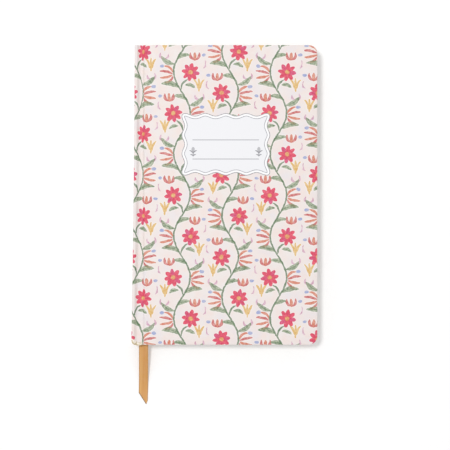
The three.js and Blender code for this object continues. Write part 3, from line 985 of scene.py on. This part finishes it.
def page_paper(name, tint, shade, ruled):
    """Ivory paper; the pages are ruled in faint grey, and each leaf has its own tone at the edge."""
    s, colour, tooth = paper_like(name, tint, shade, 0.86)
    x, y = s.flat()
    colour = s.tint(colour, shade, s.attribute("tone"), 0.0, 1.0, 0.0, 0.5)
    if ruled:
        line = s.math("FRACT", s.over(s.minus(y, RULE_FROM), RULE_PITCH))
        line = s.size(s.minus(line, 0.5))
        inside = s.fit(y, RULE_TOP, RULE_TOP + 0.2, 1.0, 0.0)
        inside = s.times(inside, s.fit(y, RULE_BOTTOM, RULE_BOTTOM + 0.2))
        inside = s.times(inside, s.fit(x, RULE_RIGHT, RULE_RIGHT + 0.2, 1.0, 0.0))
        mark = s.times(s.fit(line, 0.468, 0.48), inside)
        colour = s.mix(s.times(mark, 0.55), colour, ink(186, 184, 192))
    return s.finished(colour, tooth, PAPER_GRAIN)


PAGE = page_paper("page paper", ink(250, 246, 236), ink(240, 233, 218), True)
ENDPAPER_FACE = page_paper("endpaper", ink(250, 244, 236), ink(243, 232, 224), False)
PAGE_ROWS = page_rows()
rng = np.random.default_rng(7)


def leaf(name, node, body, low, high, bend, material, slot, tone):
    """A leaf to the fore-edge. bend holds its close columns near the spine, and a start and end that
    are handed on with it.
    """
    near, start, end = bend
    shares = np.linspace(0, 1, 8)[1:]
    rows = [(y, [*near, *(near[-1] + (page_right(y) - near[-1]) * shares)]) for y in PAGE_ROWS]
    piece = sheet(name, rows, low, high, material, tone=tone)
    dress_bent(piece, slot, body, start, end, node)


AT_HINGE = (np.linspace(FOLD_X + 0.12, HINGE_END + 0.6, 20), HINGE_START, HINGE_END)
AT_CREASE = (CREASE_X + np.linspace(0, 11, 23), CREASE_X, CREASE_X + 10)
for side, low in (("front", BLOCK_TOP + GAP), ("back", BLOCK_BOTTOM - GAP - ENDPAPER)):
    node = side + "_pastedown"
    leaf(
        node + "_sheet", node, side + "_cover", low, low + ENDPAPER,
        AT_HINGE, ENDPAPER_FACE, "endpaper", 0.2,
    )
for side, low in (("front", BLOCK_TOP - ENDPAPER), ("back", BLOCK_BOTTOM)):
    node = side + "_flyleaf"
    leaf(
        node + "_sheet", node, node, low, low + ENDPAPER,
        AT_CREASE, ENDPAPER_FACE, "endpaper", 0.0,
    )
for number in range(1, 5):
    node = f"leaf_{number:02d}"
    top = SIGNATURES_TOP - (number - 1) * LEAF_PITCH
    leaf(
        f"page_{number:02d}", node, node, top - LEAF_THICK, top,
        AT_CREASE, PAGE, "page_paper", float(rng.random()),
    )


def fold_strip(side, low):
    """Strip of the endpaper that is pasted to the block beside the fold."""
    xs = (FOLD_X, FOLD_X + 1.6, FOLD_X + 3.3, CREASE_X - GAP)
    rows = [(y, xs) for y in np.linspace(-PAGE_HEAD, PAGE_HEAD, 25)]
    piece = sheet(side + "_fold_strip", rows, low, low + ENDPAPER, ENDPAPER_FACE, tone=0.1)
    dress(piece, "endpaper", "text_block", side + "_endpaper_fold")


fold_strip("front", BLOCK_TOP - ENDPAPER)
fold_strip("back", BLOCK_BOTTOM)

SIGNATURE_COUNT, SIGNATURE_PITCH, SIGNATURE_THICK, SHEETS = 10, 0.98, 0.96, 4
SIGNATURES_BOTTOM = 2.8
# The ribbon lies under signature 5. Its room, and where that closes up
RIBBON_UNDER, RIBBON_ROOM, ROOM_X, ROOM_FADE = 5, 0.32, -53.5, 10
# How far a fold's centre lies from its back, and how far each sheet lies inside the one before
NOSE, NOSE_MORE, NEST = 0.12, 0.32, 0.115
SLACK = 0.09


def gathering(number):
    """Four nested sheets with round folds. Away from the spine the ribbon's room closes up."""
    above = SIGNATURE_COUNT - number
    bottom = SIGNATURES_BOTTOM + above * SIGNATURE_PITCH
    settled = bottom + above * RIBBON_ROOM / (SIGNATURE_COUNT - 1)
    near_spine = bottom + (RIBBON_ROOM if number <= RIBBON_UNDER else 0)
    outer, inner, flat, tones, faces = [], [], [], [], []
    shares = np.array([1.0, 0.8, 0.6, 0.4, 0.2, 0.13, 0.07, 0.0])
    arc = np.radians(np.linspace(90, 270, 9))[1:-1]
    for k in range(SHEETS):
        start = len(outer)
        half = SIGNATURE_THICK / 2 - 0.01 - k * LEAF_PITCH
        within = half - LEAF_THICK
        nose = NOSE + NOSE_MORE * half / (SIGNATURE_THICK / 2)
        centre = FOLD_X + NEST * k + nose
        tone_top, tone_low = rng.random(2)
        slack_top, slack_low = rng.uniform(-SLACK, 0.0, 2)
        for y in PAGE_ROWS:
            # The top leaves of the first signature are pieces of their own
            top = page_right(y) + slack_top if number > 1 else CREASE_X - GAP
            low = page_right(y) + slack_low
            # Each entry: outer x and z, inner x and z, tone
            line = []
            for x in centre + (top - centre) * shares:
                line.append((x, half, x, within, tone_top))
            for a in arc:
                c, n = math.cos(a), math.sin(a)
                x, x_in = centre + nose * c, centre + (nose - LEAF_THICK) * c
                line.append((x, half * n, x_in, within * n, tone_top))
            for x in centre + (low - centre) * shares[::-1]:
                line.append((x, -half, x, -within, tone_low))
            for x, z, x_in, z_in, tone in line:
                away = float(smoothstep((x - ROOM_X) / ROOM_FADE))
                middle = near_spine + (settled - near_spine) * away + SIGNATURE_THICK / 2
                outer.append((x, y, middle + z))
                inner.append((x_in, y, middle + z_in))
                flat.append((x, y))
                tones.append(tone)
        faces += grid(len(PAGE_ROWS), len(line), start)
    name, outer, inner = f"gathering_{number:02d}", rolled(outer), rolled(inner)
    piece = shell(name, outer, inner, faces, [PAGE], flat, {"tone": tones})
    dress(piece, "page_paper", "text_block", f"signature_{number:02d}")


for number in range(1, SIGNATURE_COUNT + 1):
    gathering(number)


def ribbon_inside():
    """The ribbon's stretch between the pages."""
    low, high = node_box("ribbon_inside")
    xs, middle = np.linspace(low[0], high[0], 7), (low[0] + high[0]) / 2
    rows = [(y, xs) for y in np.linspace(low[1], high[1], 40)]
    piece = sheet("ribbon_between_pages", rows, low[2], high[2], RIBBON_SATIN, False, middle)
    dress(piece, "ribbon", "text_block", "ribbon_inside")


ribbon_inside()


# Label with a waved edge
LABEL_WIDTH, LABEL_HEIGHT, LABEL_WAVE, LABEL_CORNER = 62.0, 43.7, 1.9, 2.3
LABEL_X, LABEL_Y, LABEL_LOW, LABEL_THICK = 0.9, 35.4, 15.72, 0.15
LABEL_RINGS, LABEL_EDGE_DROP = (0.0, 0.06, 0.5, 1.8, 2.3, 2.8), 0.05
LABEL_RULE_ENDS, LABEL_RULES = (-23.4, 23.2), ((2.84, 3.34), (-10.54, -10.04))
SPRIGS = ((-22.9, -5.3), (23.1, -5.3))
WAVE_STEPS = 14


def label_outline():
    """Waves along each side, from crest to crest, and a round corner between two sides."""
    lines = []
    half_w, half_h = LABEL_WIDTH / 2, LABEL_HEIGHT / 2
    for turn in (0, -90, -180, -270):
        half, other, waves = (half_h, half_w, 3) if turn % 180 else (half_w, half_h, 4)
        c, n = math.cos(math.radians(turn)), math.sin(math.radians(turn))
        share = LABEL_CORNER / (2 * half)
        line = []
        for wave in np.linspace(0, 1, waves * WAVE_STEPS + 1):
            t = share + (1 - 2 * share) * wave
            depth = LABEL_WAVE / 2 * (1 - math.cos(2 * math.pi * waves * wave))
            line.append((half * (2 * t - 1), other - depth))
        lines.append([(a * c - b * n, a * n + b * c) for a, b in line])
    outline = []
    for i, line in enumerate(lines):
        outline += line
        a, b = np.array(line[-1]), np.array(lines[(i + 1) % 4][0])
        sign = np.sign((a + b) / 2)
        centre = sign * (half_w - LABEL_CORNER, half_h - LABEL_CORNER)
        for t in np.linspace(0, math.pi / 2, 8)[1:-1]:
            outline.append(tuple(centre + (a - centre) * math.cos(t) + (b - centre) * math.sin(t)))
    return np.array(outline)


def label_paper():
    s = Surface("label paper", roughness=0.62, specular=0.3)
    x, y = s.flat()
    edge = s.attribute("edge")
    tooth = s.noise((x, y), 2.4, 4.0)
    colour = s.tint(ink(255, 255, 255), ink(250, 249, 251), tooth, 0.3, 0.75)
    panel = s.fit(edge, 2.0, 2.1)
    colour = s.mix(panel, colour, ink(242, 242, 245))

    def band_of(value, low, high, soft=0.06):
        rise = s.fit(value, low - soft, low + soft)
        return s.times(rise, s.fit(value, high - soft, high + soft, 1.0, 0.0))

    wear = s.fit(s.noise((x, y, 5.0), 0.8, 3.0), 0.25, 0.6, 0.6, 1.0)
    colour = s.mix(s.times(band_of(edge, 0.04, 0.46), wear), colour, ink(127, 124, 132))
    colour = s.mix(s.times(band_of(edge, 1.86, 2.26), wear), colour, ink(138, 139, 149))
    across = band_of(x, *LABEL_RULE_ENDS, 0.15)
    rules = joined(s, [band_of(y, low, high) for low, high in LABEL_RULES])
    colour = s.mix(s.times(s.times(rules, across), 0.9), colour, ink(156, 157, 163))
    sprigs, buds = [], []
    for cx, cy in SPRIGS:
        buds.append(((cx, cy + 0.3), 90, 3.2, 1.15, 0.0, 0.6))
        sprigs.append(((cx, cy - 3.3), 90, 4.0, 0.3, 0.0, 0.3))
        for way in (1, -1):
            sprigs.append(((cx, cy - 1.3), 90 - way * 50, 3.6, 0.44, way * 0.6, 0.6))
            sprigs.append(((cx, cy - 3.0), 90 - way * 60, 2.4, 0.38, way * 0.4, 0.6))
    bud = s.fit(strokes(s, x, y, buds), -0.06, 0.06)
    colour = s.mix(s.times(bud, 0.8), colour, ink(176, 176, 180))
    sprig = s.fit(strokes(s, x, y, sprigs), -0.06, 0.06)
    colour = s.mix(s.times(sprig, 0.9), colour, ink(142, 142, 148))
    return s.finished(colour, tooth, 0.01)


def pulled_in(outline, inward, inset):
    """The outline moved inwards. Where a round corner would turn inside out, its points meet in one."""
    moved = outline + inward * inset
    gaps = np.linalg.norm(moved[:, None, :] - outline[None, :, :], axis=2).min(axis=1)
    lost = gaps < inset * 0.985 - 0.01
    n = len(outline)
    for i in np.flatnonzero(lost):
        before = next(k for k in range(1, n) if not lost[i - k])
        after = next(k for k in range(1, n) if not lost[(i + k) % n])
        moved[i] = (moved[i - before] + moved[(i + after) % n]) / 2
    return moved


def label():
    outline = label_outline()
    ahead = np.roll(outline, -1, axis=0) - np.roll(outline, 1, axis=0)
    ahead /= np.linalg.norm(ahead, axis=1)[:, None]
    inward = np.stack([ahead[:, 1], -ahead[:, 0]], axis=1)
    if ((outline[0] + inward[0]) ** 2).sum() > (outline[0] ** 2).sum():
        inward = -inward
    n = len(outline)
    outer, inner, flat, edge = [], [], [], []
    for inset in LABEL_RINGS:
        high = LABEL_LOW + LABEL_THICK - (0 if inset else LABEL_EDGE_DROP)
        for x, y in pulled_in(outline, inward, inset):
            outer.append((x + LABEL_X, y + LABEL_Y, high))
            inner.append((x + LABEL_X, y + LABEL_Y, LABEL_LOW))
            flat.append((x, y))
            edge.append(inset)
    faces = grid(len(LABEL_RINGS), n, around=True)
    last = n * (len(LABEL_RINGS) - 1)
    faces.append(tuple(range(last, last + n)))
    piece = shell("label", outer, inner, faces, [label_paper()], flat, {"edge": edge})
    dress(piece, "label", "front_cover", "cover_label")


label()


# Floor and light
FLOOR_REACH, FLOOR_GLOW, STUDIO_LIGHT = 4, 0.17, 0.62
WHITE, FLOOR_TONE = (1, 1, 1, 1), (0.86, 0.86, 0.86, 1)
KEY_PLACE, KEY_SIZE, KEY_POWER = (-0.52, 0.36, 2.0), 0.42, 18.0


def floor():
    """A pale table that seems lit from above, and glows a little only where it is seen."""
    r = FLOOR_REACH
    mesh = bpy.data.meshes.new("floor")
    mesh.from_pydata([(-r, -r, 0), (r, -r, 0), (r, r, 0), (-r, r, 0)], [], [(0, 1, 2, 3)])
    material = bpy.data.materials.new("floor")
    material.use_nodes = True
    tree = material.node_tree
    tree.nodes.remove(tree.nodes["Principled BSDF"])
    path = add_node(tree, "LightPath")
    seen = add_node(tree, "Math", path.outputs["Is Camera Ray"], path.outputs["Is Glossy Ray"])
    strength = add_node(tree, "Math", seen.outputs[0], FLOOR_GLOW)
    seen.operation, strength.operation = "MAXIMUM", "MULTIPLY"
    shade = add_node(tree, "BsdfDiffuse", FLOOR_TONE)
    glow = add_node(tree, "Emission", WHITE, strength.outputs[0])
    both = add_node(tree, "AddShader", shade.outputs[0], glow.outputs[0])
    put(tree.nodes["Material Output"].inputs["Surface"], both.outputs[0])
    mesh.materials.append(material)
    placed("floor", mesh)


def world():
    """Even studio light; the camera sees plain white past the floor."""
    made = bpy.data.worlds.new("studio")
    bpy.context.scene.world = made
    made.use_nodes = True
    tree = made.node_tree
    path = add_node(tree, "LightPath").outputs["Is Camera Ray"]
    level = add_node(tree, "MapRange", path, 0.0, 1.0, STUDIO_LIGHT, 1.0)
    background = tree.nodes["Background"]
    put(background.inputs["Color"], WHITE)
    put(background.inputs["Strength"], level.outputs[0])


def key_lamp():
    """A round lamp above the spine side of the head, turned to the book."""
    data = bpy.data.lights.new("key", "AREA")
    data.shape = "DISK"
    data.size = KEY_SIZE
    data.energy = KEY_POWER
    thing = placed("key", data)
    thing.location = KEY_PLACE
    direction = -thing.location.normalized()
    thing.rotation_mode = "QUATERNION"
    thing.rotation_quaternion = direction.to_track_quat("-Z", "Y")


floor()
world()
key_lamp()
